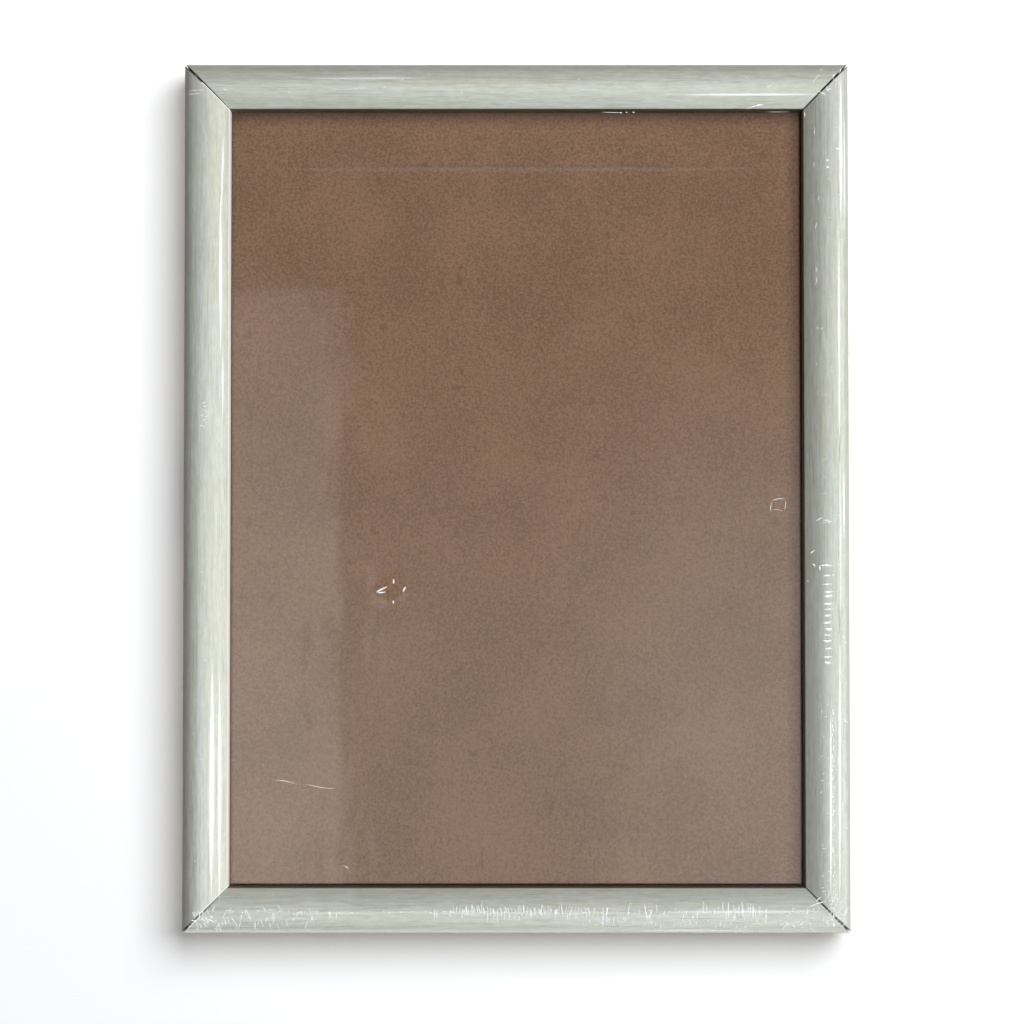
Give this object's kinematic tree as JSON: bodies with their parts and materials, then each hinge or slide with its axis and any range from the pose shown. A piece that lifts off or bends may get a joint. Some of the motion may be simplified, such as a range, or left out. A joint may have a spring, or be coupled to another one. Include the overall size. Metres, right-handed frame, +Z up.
{
  "type": "picture frame",
  "caption": "Portrait picture frame with half-round mitred rails, glass, a hardboard back, turn clips behind and toothed hangers.",
  "frame": {"origin": "top edge of the top hanger's middle notch, at mid thickness of its raised strip, where a wall nail carries the frame", "axes": "X to the right seen from the front, front face towards -Y, wall towards +Y, Z up along the long sides"},
  "size_m": [0.1968, 0.0161, 0.2568],
  "materials": {
    "sage_foil": "satin wood-grain foil, pale sage grey",
    "wood_fibre": "raw medium-density fibreboard",
    "clear_glass": "clear float glass",
    "hardboard": "brown hardboard, smooth face forward",
    "zinc_steel": "zinc-plated strip steel",
    "zinc_screw": "zinc-plated screw steel",
    "brass_plate": "brass-plated strip steel",
    "bright_steel": "bright steel"
  },
  "bodies": {
    "frame": {"top_rail": "wood_fibre", "right_rail": "wood_fibre", "bottom_rail": "wood_fibre", "left_rail": "wood_fibre", "top_rail_foil": "sage_foil", "right_rail_foil": "sage_foil", "bottom_rail_foil": "sage_foil", "left_rail_foil": "sage_foil", "corner_v_nails": "bright_steel", "glass_pane": "clear_glass", "backing_board": "hardboard", "clip_screws": "zinc_screw", "top_hanger": "brass_plate", "side_hanger": "brass_plate", "hanger_nails": "bright_steel"},
    "turn_clip_top_left": {"turn_clip_top_left": "zinc_steel"},
    "turn_clip_top_right": {"turn_clip_top_right": "zinc_steel"},
    "turn_clip_right_upper": {"turn_clip_right_upper": "zinc_steel"},
    "turn_clip_right_lower": {"turn_clip_right_lower": "zinc_steel"},
    "turn_clip_bottom_right": {"turn_clip_bottom_right": "zinc_steel"},
    "turn_clip_bottom_left": {"turn_clip_bottom_left": "zinc_steel"},
    "turn_clip_left_lower": {"turn_clip_left_lower": "zinc_steel"},
    "turn_clip_left_upper": {"turn_clip_left_upper": "zinc_steel"}
  },
  "joints": [
    {"name": "turn_clip_top_left_pivot", "type": "hinge", "parent": "frame", "child": "turn_clip_top_left", "pos_m": [-0.055, -0.0017, 0.002], "axis": [0, 1, 0], "range_deg": [-90, 90]},
    {"name": "turn_clip_top_right_pivot", "type": "hinge", "parent": "frame", "child": "turn_clip_top_right", "pos_m": [0.055, -0.0017, 0.002], "axis": [0, 1, 0], "range_deg": [-90, 90]},
    {"name": "turn_clip_right_upper_pivot", "type": "hinge", "parent": "frame", "child": "turn_clip_right_upper", "pos_m": [0.0944, -0.0017, -0.0474], "axis": [0, 1, 0], "range_deg": [-90, 90]},
    {"name": "turn_clip_right_lower_pivot", "type": "hinge", "parent": "frame", "child": "turn_clip_right_lower", "pos_m": [0.0944, -0.0017, -0.1974], "axis": [0, 1, 0], "range_deg": [-90, 90]},
    {"name": "turn_clip_bottom_right_pivot", "type": "hinge", "parent": "frame", "child": "turn_clip_bottom_right", "pos_m": [0.055, -0.0017, -0.2468], "axis": [0, 1, 0], "range_deg": [-90, 90]},
    {"name": "turn_clip_bottom_left_pivot", "type": "hinge", "parent": "frame", "child": "turn_clip_bottom_left", "pos_m": [-0.055, -0.0017, -0.2468], "axis": [0, 1, 0], "range_deg": [-90, 90]},
    {"name": "turn_clip_left_lower_pivot", "type": "hinge", "parent": "frame", "child": "turn_clip_left_lower", "pos_m": [-0.0944, -0.0017, -0.1974], "axis": [0, 1, 0], "range_deg": [-90, 90]},
    {"name": "turn_clip_left_upper_pivot", "type": "hinge", "parent": "frame", "child": "turn_clip_left_upper", "pos_m": [-0.0944, -0.0017, -0.0474], "axis": [0, 1, 0], "range_deg": [-90, 90]}
  ]
}
